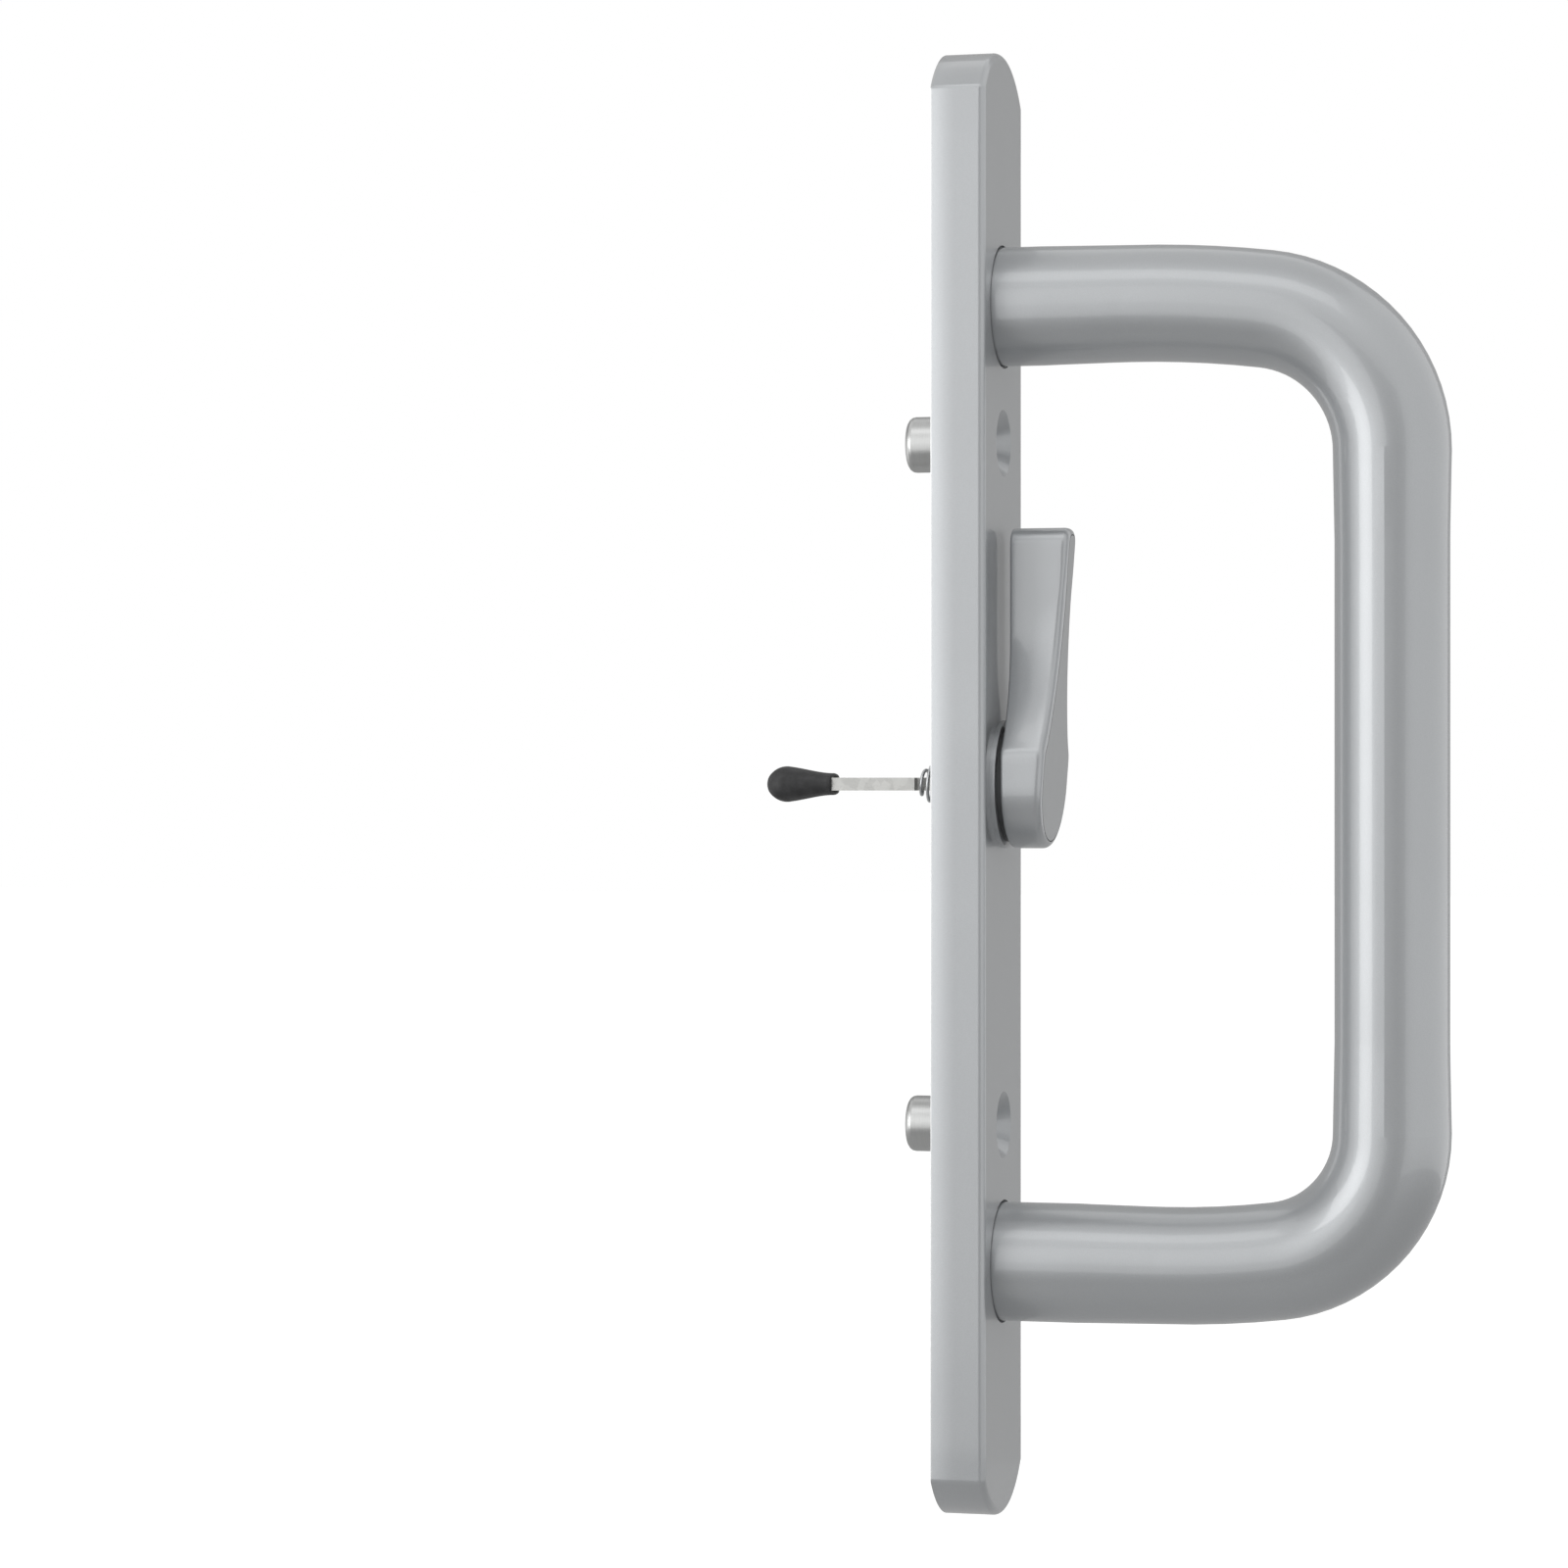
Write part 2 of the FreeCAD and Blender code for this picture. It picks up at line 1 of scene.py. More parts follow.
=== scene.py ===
import logging
import math
from collections.abc import Callable, Mapping, Sequence
from dataclasses import dataclass, field
from enum import Enum
from typing import Any, Union

import bpy
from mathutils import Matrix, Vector


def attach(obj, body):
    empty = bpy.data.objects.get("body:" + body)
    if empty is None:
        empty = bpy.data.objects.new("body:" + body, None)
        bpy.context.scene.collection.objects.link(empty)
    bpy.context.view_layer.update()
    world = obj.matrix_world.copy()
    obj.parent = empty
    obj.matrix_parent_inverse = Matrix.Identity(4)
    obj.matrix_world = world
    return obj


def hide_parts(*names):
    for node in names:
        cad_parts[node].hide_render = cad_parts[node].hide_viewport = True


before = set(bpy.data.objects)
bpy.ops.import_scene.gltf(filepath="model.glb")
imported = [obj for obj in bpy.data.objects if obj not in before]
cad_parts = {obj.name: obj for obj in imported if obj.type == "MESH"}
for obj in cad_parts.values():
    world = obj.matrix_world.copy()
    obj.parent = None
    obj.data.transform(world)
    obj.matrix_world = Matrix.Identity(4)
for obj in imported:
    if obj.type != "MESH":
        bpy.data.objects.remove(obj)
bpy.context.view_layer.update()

# Interior handle of a sliding patio door. +Z is up, the room side faces -Y and the door face is
# y = 0. "Out" is the distance from the door face towards the room. The handle's sizes are in
# millimetres, the studio's in metres, and angles are in degrees unless a function says otherwise.

LOG = logging.getLogger("patio_door_handle")
MM = 0.001
WHITE = (1.0, 1.0, 1.0, 1.0)

Value = Union["Signal", float, Sequence[float]]
Flat = tuple[float, float]
Point = tuple[float, float, float]
Colour = tuple[float, float, float, float]


# Shader graphs

class Signal:
    """An output socket of a node, which adds Math nodes when it is used in an expression."""

    def __init__(self, graph: "Graph", socket: bpy.types.NodeSocket) -> None:
        """Wraps a socket.

        Args:
            graph: The graph that the socket's node is in.
            socket: The output socket.
        """
        self.graph = graph
        self.socket = socket

    def _math(self, operation: str, first: Value, second: Value) -> "Signal":
        """Adds one Math node and returns its value."""
        return self.graph.node("ShaderNodeMath", {"operation": operation}, {0: first, 1: second})

    def __add__(self, other: Value) -> "Signal":
        """Sum."""
        return self._math("ADD", self, other)

    __radd__ = __add__

    def __sub__(self, other: Value) -> "Signal":
        """Difference."""
        return self._math("SUBTRACT", self, other)

    def __rsub__(self, other: Value) -> "Signal":
        """Difference from a number."""
        return self._math("SUBTRACT", other, self)

    def __mul__(self, other: Value) -> "Signal":
        """Product."""
        return self._math("MULTIPLY", self, other)

    __rmul__ = __mul__

    def larger(self, other: Value) -> "Signal":
        """The larger of two values."""
        return self._math("MAXIMUM", self, other)

    def smaller(self, other: Value) -> "Signal":
        """The smaller of two values."""
        return self._math("MINIMUM", self, other)

    def ramp(self, low: float, high: float) -> "Signal":
        """Maps this value to 0 at low and 1 at high, clamped, with soft ends."""
        limits = {"Value": self, "From Min": low, "From Max": high, "To Min": 0.0, "To Max": 1.0}
        return self.graph.node("ShaderNodeMapRange", {"interpolation_type": "SMOOTHSTEP"}, limits)


class Graph:
    """Builds the nodes of one material or world."""

    def __init__(self, tree: bpy.types.NodeTree) -> None:
        """Empties a node tree and keeps it.

        Args:
            tree: The node tree to build in.
        """
        tree.nodes.clear()
        self.tree = tree

    def node(self, kind: str, settings: Mapping[str, Any] | None = None,
             inputs: Mapping[str | int, Value] | None = None,
             output: str | int = 0) -> Signal | None:
        """Adds one node.

        Args:
            kind: The node's type name.
            settings: The node's own properties, which are set first.
            inputs: Values or links of its input sockets, by name or number.
            output: The output socket that is returned.

        Returns:
            The wanted output of the new node, or None where the node has no output.
        """
        made = self.tree.nodes.new(kind)
        for name, value in (settings or {}).items():
            setattr(made, name, value)
        for name, value in (inputs or {}).items():
            if isinstance(value, Signal):
                self.tree.links.new(value.socket, made.inputs[name])
            else:
                made.inputs[name].default_value = value
        return Signal(self, made.outputs[output]) if len(made.outputs) else None

    def position(self) -> Signal:
        """The place on the object in millimetres."""
        metres = self.node("ShaderNodeTexCoord", output="Object")
        return self.node("ShaderNodeVectorMath", {"operation": "SCALE"},
                         {0: metres, "Scale": 1 / MM})

    def along_y(self, vector: Signal) -> Signal:
        """The Y part of a vector."""
        return self.node("ShaderNodeSeparateXYZ", inputs={0: vector}, output="Y")

    def noise(self, vector: Signal, per_mm: float, layers: float = 2.0) -> Signal:
        """Smooth noise around a half, with so many blobs in a millimetre and so many layers."""
        return self.node("ShaderNodeTexNoise", inputs={
            "Vector": vector, "Scale": per_mm, "Detail": layers})

    def streaks(self, vector: Signal, per_mm: Point, layers: float) -> Signal:
        """Noise with its own number of blobs in a millimetre along each axis."""
        stretched = self.node("ShaderNodeVectorMath", {"operation": "MULTIPLY"},
                              {0: vector, 1: per_mm})
        return self.noise(stretched, 1.0, layers)

    def tint(self, share: Value, first: Value, second: Value) -> Signal:
        """A colour between two colours."""
        return self.node("ShaderNodeMix", {"data_type": "RGBA"}, {0: share, 6: first, 7: second},
                         output=2)

    def shades(self, share: Value, colour: Point, between: Flat) -> Signal:
        """A colour between a darker and a lighter shade of one colour."""
        return self.tint(share, shade(colour, between[0]), shade(colour, between[1]))

    def bump(self, height: Signal, depth: float, strength: float = 1.0) -> Signal:
        """A normal from a height pattern, whose 1 stands for a depth in millimetres."""
        return self.node("ShaderNodeBump", inputs={
            "Height": height, "Strength": strength, "Distance": depth * MM})


def shade(colour: Point, factor: float) -> Colour:
    """A colour made darker or lighter by a factor, with full alpha."""
    red, green, blue = (min(1.0, part * factor) for part in colour)
    return (red, green, blue, 1.0)


def new_material(name: str, surface: Callable[[Graph], Signal]) -> bpy.types.Material:
    """Makes a material.

    Args:
        name: Its name.
        surface: The function that builds its shader.

    Returns:
        The new material.
    """
    made = bpy.data.materials.new(name)
    made.use_nodes = True
    graph = Graph(made.node_tree)
    graph.node("ShaderNodeOutputMaterial", inputs={"Surface": surface(graph)})
    return made


class Finish:
    """A surface finish, which knows how to make its material."""

    name: str
    slot: str

    def material(self) -> bpy.types.Material:
        """Makes the material once and returns it after that."""
        return bpy.data.materials.get(self.name) or new_material(self.name, self.surface)

    def surface(self, graph: Graph) -> Signal:
        """Builds the finish's shader."""
        raise NotImplementedError

    @staticmethod
    def principled(graph: Graph, inputs: Mapping[str, Value]) -> Signal:
        """A Principled shader with some of its sockets set."""
        return graph.node("ShaderNodeBsdfPrincipled", inputs=inputs)


@dataclass(frozen=True)
class SilverPaint(Finish):
    """Sprayed silver paint with fine metal flake under a thin clear layer.

    The paint stops at the door side, where the posts are bare casting with marks of turning.
    """

    name: str = "silver_flake_paint"
    slot: str = "silver_paint"
    colour: Point = (0.489, 0.505, 0.519)
    roughness: float = 0.33
    metallic: float = 0.5
    clear_layer: float = 1.0
    clear_roughness: float = 0.05
    contrast: Flat = (0.3, 0.7)
    flake_per_mm: float = 9.0
    flake_shades: Flat = (0.96, 1.04)
    flake_roughness: float = 0.06
    flake_relief: float = 0.15
    cloud_per_mm: float = 0.06
    cloud_strength: float = 0.35
    cloud_shade: float = 0.95
    cloud_roughness: float = 0.04
    peel_per_mm: float = 1.1
    peel_depth: float = 0.0072
    crown_width: float = 3.5
    crown_curve: float = 0.033
    bare_edge: Flat = (-0.25, 0.05)
    bare_colour: Point = (0.56, 0.565, 0.56)
    bare_shades: Flat = (0.88, 1.08)
    bare_roughness: float = -0.1
    turning_per_mm: Point = (0.4, 6.0, 0.4)
    turning_roughness: float = 0.12

    def surface(self, graph: Graph) -> Signal:
        """Builds flake, clouding and orange peel, the plate's crowned back edge, and bare metal.

        Args:
            graph: The graph to build in.

        Returns:
            The shader.
        """
        place = graph.position()
        back = graph.along_y(place)
        flake = graph.noise(place, self.flake_per_mm, 1.0)
        cloud = graph.noise(place, self.cloud_per_mm, 3.0)
        peel = graph.noise(place, self.peel_per_mm)
        turning = graph.streaks(place, self.turning_per_mm, 2.0)
        bare = back.ramp(*self.bare_edge)
        paint = graph.shades(flake.ramp(*self.contrast), self.colour, self.flake_shades)
        paint = graph.tint(cloud.ramp(*self.contrast) * self.cloud_strength, paint,
                           shade(self.colour, self.cloud_shade))
        metal = graph.shades(turning, self.bare_colour, self.bare_shades)
        rough = self.roughness + flake * self.flake_roughness + cloud * self.cloud_roughness
        crown = (back + self.crown_width).larger(0.0).smaller(self.crown_width)
        peeled = (peel + flake * self.flake_relief) * self.peel_depth
        return self.principled(graph, {
            "Base Color": graph.tint(bare, paint, metal),
            "Metallic": self.metallic + bare * (1.0 - self.metallic),
            "Roughness": rough + bare * (turning * self.turning_roughness + self.bare_roughness),
            "Coat Weight": self.clear_layer * (1.0 - bare),
            "Coat Roughness": self.clear_roughness,
            "Normal": graph.bump(peeled - crown * crown * self.crown_curve, 1.0),
        })


@dataclass(frozen=True)
class PlatedSteel(Finish):
    """Zinc-plated steel of screws, washers and small fittings."""

    name: str = "zinc_plated_steel"
    slot: str = "plated_steel"
    colour: Point = (0.62, 0.63, 0.64)
    roughness: float = 0.24
    cloud_per_mm: float = 0.5
    cloud_contrast: Flat = (0.3, 0.75)
    cloud_shades: Flat = (0.86, 1.06)
    cloud_roughness: float = 0.08
    scratch_per_mm: Point = (1.0, 9.0, 2.0)
    scratch_roughness: float = 0.08
    scratch_depth: float = 0.05
    scratch_strength: float = 0.12

    def surface(self, graph: Graph) -> Signal:
        """Builds a plated surface with faint cloudy stains and fine scratches.

        Args:
            graph: The graph to build in.

        Returns:
            The shader.
        """
        place = graph.position()
        cloud = graph.noise(place, self.cloud_per_mm, 3.0)
        scratch = graph.streaks(place, self.scratch_per_mm, 3.0)
        rough = self.roughness + cloud * self.cloud_roughness + scratch * self.scratch_roughness
        return self.principled(graph, {
            "Base Color": graph.shades(cloud.ramp(*self.cloud_contrast), self.colour,
                                       self.cloud_shades),
            "Metallic": 1.0,
            "Roughness": rough,
            "Normal": graph.bump(scratch, self.scratch_depth, self.scratch_strength),
        })


@dataclass(frozen=True)
class GalvanisedSteel(Finish):
    """Pale galvanised strip with soft spangle and drawn lines along its length."""

    name: str = "galvanised_strip"
    slot: str = "galvanised_steel"
    colour: Point = (0.55, 0.55, 0.533)
    metallic: float = 0.75
    roughness: float = 0.42
    spangle_per_mm: float = 0.9
    spangle_shades: Flat = (0.93, 1.05)
    spangle_polish: float = 0.05
    drawn_per_mm: Point = (5.0, 0.35, 5.0)
    drawn_roughness: float = 0.12
    spot_per_mm: float = 1.6
    spot_contrast: Flat = (0.6, 0.78)
    spot_strength: float = 0.4
    spot_shade: float = 0.7
    relief_depth: float = 0.06
    relief_strength: float = 0.2

    def surface(self, graph: Graph) -> Signal:
        """Builds the spangle, the drawn lines and a few dull spots.

        Args:
            graph: The graph to build in.

        Returns:
            The shader.
        """
        place = graph.position()
        cells = graph.node("ShaderNodeTexVoronoi", output="Color",
                           inputs={"Vector": place, "Scale": self.spangle_per_mm})
        spangle = graph.node("ShaderNodeSeparateColor", inputs={0: cells})
        drawn = graph.streaks(place, self.drawn_per_mm, 3.0)
        spots = graph.noise(place, self.spot_per_mm, 3.0).ramp(*self.spot_contrast)
        dull = spots * self.spot_strength
        tone = graph.shades(spangle, self.colour, self.spangle_shades)
        rough = self.roughness + drawn * self.drawn_roughness - spangle * self.spangle_polish
        return self.principled(graph, {
            "Base Color": graph.tint(dull, tone, shade(self.colour, self.spot_shade)),
            "Metallic": self.metallic,
            "Roughness": rough,
            "Normal": graph.bump(drawn + dull, self.relief_depth, self.relief_strength),
        })


@dataclass(frozen=True)
class DarkNylon(Finish):
    """Dark moulded nylon of the bush and the friction washer."""

    name: str = "dark_nylon"
    slot: str = "dark_plastic"
    colour: Point = (0.075, 0.077, 0.08)
    roughness: float = 0.5
    mottle_per_mm: float = 0.8
    mottle_shades: Flat = (0.8, 1.25)
    grain_per_mm: float = 6.0
    grain_roughness: float = 0.1
    grain_depth: float = 0.04
    grain_strength: float = 0.15

    def surface(self, graph: Graph) -> Signal:
        """Builds a slightly mottled moulded plastic with a fine spark-eroded grain.

        Args:
            graph: The graph to build in.

        Returns:
            The shader.
        """
        place = graph.position()
        mottle = graph.noise(place, self.mottle_per_mm)
        grain = graph.noise(place, self.grain_per_mm, 1.0)
        return self.principled(graph, {
            "Base Color": graph.shades(mottle, self.colour, self.mottle_shades),
            "Roughness": self.roughness + grain * self.grain_roughness,
            "Normal": graph.bump(grain, self.grain_depth, self.grain_strength),
        })


@dataclass(frozen=True)
class BlackRubber(Finish):
    """Soft black rubber of the cap, with a dusty bloom and a matt skin."""

    name: str = "dipped_black_rubber"
    slot: str = "black_rubber"
    colour: Point = (0.028, 0.028, 0.029)
    roughness: float = 0.5
    bloom_per_mm: float = 0.7
    bloom_contrast: Flat = (0.35, 0.8)
    bloom_shades: Flat = (1.0, 1.9)
    skin_per_mm: float = 5.0
    skin_roughness: float = 0.14
    skin_depth: float = 0.06
    skin_strength: float = 0.2

    def surface(self, graph: Graph) -> Signal:
        """Builds the bloom and the fine skin of dip-moulded rubber.

        Args:
            graph: The graph to build in.

        Returns:
            The shader.
        """
        place = graph.position()
        bloom = graph.noise(place, self.bloom_per_mm, 3.0).ramp(*self.bloom_contrast)
        outer_skin = graph.noise(place, self.skin_per_mm)
        return self.principled(graph, {
            "Base Color": graph.shades(bloom, self.colour, self.bloom_shades),
            "Roughness": self.roughness + outer_skin * self.skin_roughness,
            "Normal": graph.bump(outer_skin, self.skin_depth, self.skin_strength),
        })


class Fitting(Enum):
    """The finishes that the pieces of the handle come in."""

    PAINTED = SilverPaint()
    PLATED = PlatedSteel()
    GALVANISED = GalvanisedSteel()
    NYLON = DarkNylon()
    RUBBER = BlackRubber()


# Points and faces

def at(x: float, out: float, z: float) -> Point:
    """A point in metres from millimetres across, out from the door face, and up."""
    return (x * MM, -out * MM, z * MM)


def clamp(value: float, low: float = 0.0, high: float = 1.0) -> float:
    """A value kept between two limits."""
    return min(high, max(low, value))


def spread(start: float, end: float, count: int) -> list[float]:
    """Evenly spaced values from start to end, both included."""
    return [start + (end - start) * i / (count - 1) for i in range(count)]


def once_round(sides: int) -> list[float]:
    """Evenly spaced angles once round, in radians."""
    return [2 * math.pi * i / sides for i in range(sides)]


def between(first: Point, second: Point, share: float) -> Point:
    """The point at a share of the way from one point to another."""
    return tuple(a + (b - a) * share for a, b in zip(first, second))


def arc(centre: Flat, radius: float, start: float, end: float, count: int) -> list[Flat]:
    """Points along a circle between two angles, both included."""
    angles = [math.radians(angle) for angle in spread(start, end, count)]
    return [(centre[0] + radius * math.cos(a), centre[1] + radius * math.sin(a)) for a in angles]


def rounding(start: float, end: float, count: int) -> list[Flat]:
    """Steps round an edge of radius 1, as (distance in, distance down) from its sharp corner."""
    angles = [math.radians(angle) for angle in spread(start, end, count)]
    return [(1 - math.cos(a), 1 - math.sin(a)) for a in angles]


def rectangle(half_width: float, half_height: float, sides: int) -> list[Flat]:
    """Points once round a rectangle, at evenly spaced angles.

    Args:
        half_width: Half its width.
        half_height: Half its height.
        sides: The number of points.

    Returns:
        The points.
    """
    points = []
    for a in once_round(sides):
        reach = 1 / max(abs(math.cos(a)) / half_width, abs(math.sin(a)) / half_height)
        points.append((reach * math.cos(a), reach * math.sin(a)))
    return points


def skin(rings: Sequence[Sequence[int]], closed: bool = True) -> list[tuple[int, ...]]:
    """Quads between rings of point numbers, one after another.

    Args:
        rings: Rings with as many points each.
        closed: Whether each ring ends where it starts.

    Returns:
        The quads.
    """
    quads = []
    count = len(rings[0])
    steps = count if closed else count - 1
    for low, high in zip(rings, rings[1:]):
        for i in range(steps):
            j = (i + 1) % count
            quads.append((low[i], low[j], high[j], high[i]))
    return quads


@dataclass
class Draft:
    """A mesh in the making: its points, and the rings of point numbers that its faces join."""

    points: list[Point] = field(default_factory=list)
    rings: list[list[int]] = field(default_factory=list)

    def ring(self, points: Sequence[Point]) -> None:
        """Adds a ring of points."""
        self.rings.append(list(range(len(self.points), len(self.points) + len(points))))
        self.points.extend(points)


# Pieces

def dress(piece: bpy.types.Object, fitting: Fitting) -> None:
    """Gives a piece one finish on all its material slots.

    Args:
        piece: The object to finish.
        fitting: The finish.
    """
    if piece.material_slots:
        for material_slot in piece.material_slots:
            material_slot.material = fitting.value.material()
    else:
        piece.data.materials.append(fitting.value.material())


def carry_over(node: str, fitting: Fitting) -> None:
    """Keeps a CAD node's shape and gives it its finish.

    Args:
        node: The node's name.
        fitting: The finish.
    """
    dress(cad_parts[node], fitting)
    LOG.info("%s: kept as modelled, %s", node, fitting.value.name)


def new_piece(name: str, points: Sequence[Point], faces: Sequence[Sequence[int]],
              fitting: Fitting, body: str, replaced: str | None = None) -> bpy.types.Object:
    """Makes a smooth mesh piece, which may stand for a CAD node.

    Args:
        name: The piece's name.
        points: Its points in metres.
        faces: Its faces, as numbers of points.
        fitting: Its finish.
        body: The body that it moves with.
        replaced: The CAD node that it stands for, or nothing where it is fitted over one.

    Returns:
        The new object.
    """
    mesh = bpy.data.meshes.new(name)
    mesh.from_pydata(points, [], faces)
    mesh.validate()
    mesh.shade_smooth()
    piece = bpy.data.objects.new(name, mesh)
    bpy.context.scene.collection.objects.link(piece)
    dress(piece, fitting)
    if replaced is not None:
        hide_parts(replaced)
    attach(piece, body)
    LOG.info("%s: %d faces, stands for %s, %s", name, len(faces), replaced or "no node",
             fitting.value.name)
    return piece


@dataclass
class PlateEnd:
    """The rim of one end of the plate: straight sides that meet a shallow arc in small corners.

    It is fitted over the plate, from the height where the plate's own end leaves the sides. Its
    flat faces lie over the plate's by the cover.
    """

    name: str
    side: int
    half_width: float = 12.7
    tip: float = 107.1
    foot: float = 94.4
    thickness: float = 8.0
    end_radius: float = 16.0
    end_steps: int = 25
    corner_radius: float = 1.2
    corner_steps: int = 8
    edge_radius: float = 1.0
    edge_steps: int = 8
    inner_radius: float = 11.5
    cover: float = 0.005
    sharp_angle: float = 40.0

    def stations(self) -> list[Point]:
        """Finds places along the outer edge from foot to foot.

        Returns:
            The places, as (x, z, outward angle).
        """
        centre = self.tip - self.end_radius
        corner_x = self.half_width - self.corner_radius
        corner_z = centre + math.sqrt((self.end_radius - self.corner_radius) ** 2 - corner_x ** 2)
        turn = math.degrees(math.atan2(corner_z - centre, corner_x))
        edge = arc((corner_x, corner_z), self.corner_radius, 0.0, turn, self.corner_steps)
        edge += arc((0.0, centre), self.end_radius, turn, 90.0, self.end_steps)[1:]
        angles = spread(0.0, turn, self.corner_steps) + spread(turn, 90.0, self.end_steps)[1:]
        right = [(self.half_width, self.foot, 0.0)]
        right += [(x, z, angle) for (x, z), angle in zip(edge, angles)]
        return right + [(-x, z, 180.0 - angle) for x, z, angle in right[-2::-1]]

    def build(self) -> None:
        """Builds the rim as a closed band between its outer edge and a circle in the wall."""
        stations = self.stations()
        outer = [(x, z) for x, z, _ in stations]
        inner = []
        for x, z in outer:
            a = math.atan2(z - self.foot, x)
            inner.append((self.inner_radius * math.cos(a),
                          self.foot + self.inner_radius * math.sin(a)))
        front = self.thickness + self.cover
        layers = [(inner, self.cover), (outer, self.cover)]
        for inward, down in rounding(0.0, 90.0, self.edge_steps):
            inset = self.edge_radius * inward
            edge = [(x - inset * math.cos(math.radians(n)), z - inset * math.sin(math.radians(n)))
                    for x, z, n in stations]
            layers.append((edge, front - self.edge_radius * down))
        layers.append((inner, front))
        draft = Draft()
        for layer, out in layers:
            draft.ring([at(self.side * x, out, self.side * z) for x, z in layer])
        faces = skin(draft.rings + draft.rings[:1], closed=False)
        faces.append(tuple(ring[0] for ring in draft.rings))
        faces.append(tuple(ring[-1] for ring in reversed(draft.rings)))
        piece = new_piece(self.name, draft.points, faces, Fitting.PAINTED, "handle")
        piece.data.set_sharp_from_angle(angle=math.radians(self.sharp_angle))
        flatten = piece.modifiers.new("flat_faces", "WEIGHTED_NORMAL")
        flatten.keep_sharp = True


@dataclass
class LatchLever:
    """The thumb lever: a round hub with scooped, twisting flanks that run into a narrow paddle.

    The scoops start higher at the front than at the back, which gives the flanks their twist.
    """

    hub_radius: float = 9.4
    shoulder: float = 4.6
    tip: float = 37.45
    half_width: float = 3.0
    scoop_back: float = 21.0
    scoop_front: float = 30.0
    back_out: float = 9.55
    hub_depth: float = 6.15
    slope: float = 4.2
    tip_corner: float = 2.4
    edge_radius: float = 1.1
    scoop_edge_radius: float = 1.5
    scoop_edge_above: float = 2.0
    scoop_edge_fade: float = 5.0
    scoop_edge_below: float = 1.0
    shoulder_fade: float = 3.0
    crease: float = 0.9
    back_edge: float = 0.45
    flat_weight: int = 60
    tip_steps: int = 4
    corner_steps: int = 8
    paddle_steps: int = 10
    scoop_steps: int = 34
    crease_steps: int = 6
    hub_side_steps: int = 5
    hub_steps: int = 24
    back_edge_steps: int = 5
    wall_steps: int = 9
    edge_steps: int = 8

    def half_outline(self, scoop_start: float) -> list[Flat]:
        """The right half of the front view, from the middle of the tip to the hub's bottom.

        Args:
            scoop_start: The height where the scoop leaves the straight paddle.

        Returns:
            Points as (x, z).
        """
        half, hub, corner = self.half_width, self.hub_radius, self.tip_corner
        points = [(x, self.tip) for x in spread(0.0, half - corner, self.tip_steps)]
        points += arc((half - corner, self.tip - corner), corner, 90.0, 0.0,
                      self.corner_steps)[1:]
        points += [(half, z)
                   for z in spread(self.tip - corner, scoop_start, self.paddle_steps)[1:]]
        rise, width = scoop_start - self.shoulder, hub - half
        radius = (rise ** 2 + width ** 2) / (2 * width)
        turn = math.asin(rise / radius)
        for a in spread(0.0, turn - self.crease / radius, self.scoop_steps)[1:]:
            points.append((half + radius * (1 - math.cos(a)), scoop_start - radius * math.sin(a)))
        above, below = points[-1], (hub, self.shoulder - self.crease)
        for t in spread(0.0, 1.0, self.crease_steps)[1:]:
            points.append(tuple((1 - t) ** 2 * a + 2 * t * (1 - t) * b + t * t * c
                                for a, b, c in zip(above, (hub, self.shoulder), below)))
        points += [(hub, z) for z in spread(below[1], 0.0, self.hub_side_steps)[1:]]
        return points + arc((0.0, 0.0), hub, 0.0, -90.0, self.hub_steps)[1:]

    def outline(self, scoop_start: float) -> list[Flat]:
        """The whole front view, once round from the middle of the tip."""
        right = self.half_outline(scoop_start)
        return right + [(-x, z) for x, z in right[-2:0:-1]]

    def front_radius(self, z: float) -> float:
        """The radius of the front edge: one on paddle and hub, another along the scoop.

        Args:
            z: The height.

        Returns:
            The radius there.
        """
        along = clamp((self.scoop_front + self.scoop_edge_above - z) / self.scoop_edge_fade)
        along *= clamp((z - self.shoulder + self.scoop_edge_below) / self.shoulder_fade)
        return self.edge_radius + (self.scoop_edge_radius - self.edge_radius) * along

    @staticmethod
    def inward(outline: Sequence[Flat]) -> list[Flat]:
        """Finds unit directions into an outline, square to it.

        Args:
            outline: Points once round.

        Returns:
            One direction for each point.
        """
        count = len(outline)
        directions = []
        for i in range(count):
            (x0, z0), (x1, z1) = outline[i - 1], outline[(i + 1) % count]
            dx, dz = x1 - x0, z1 - z0
            length = math.hypot(dx, dz) or 1.0
            directions.append((dz / length, -dx / length))
        return directions

    def front_edge(self, back: Sequence[Flat]) -> list[Point]:
        """Runs each flank line forward to the sloped front plane.

        Args:
            back: The outline of the lever's back.

        Returns:
            The sharp front edge, as (x, out, z).
        """
        slope = math.tan(math.radians(self.slope))
        front_out = self.back_out + self.hub_depth + slope * self.tip
        depth = front_out - self.back_out
        edge = []
        for (xb, zb), (xf, zf) in zip(back, self.outline(self.scoop_front)):
            share = (self.hub_depth + slope * zb) / (depth - slope * (zf - zb))
            edge.append(between((xb, self.back_out, zb), (xf, front_out, zf), share))
        return edge

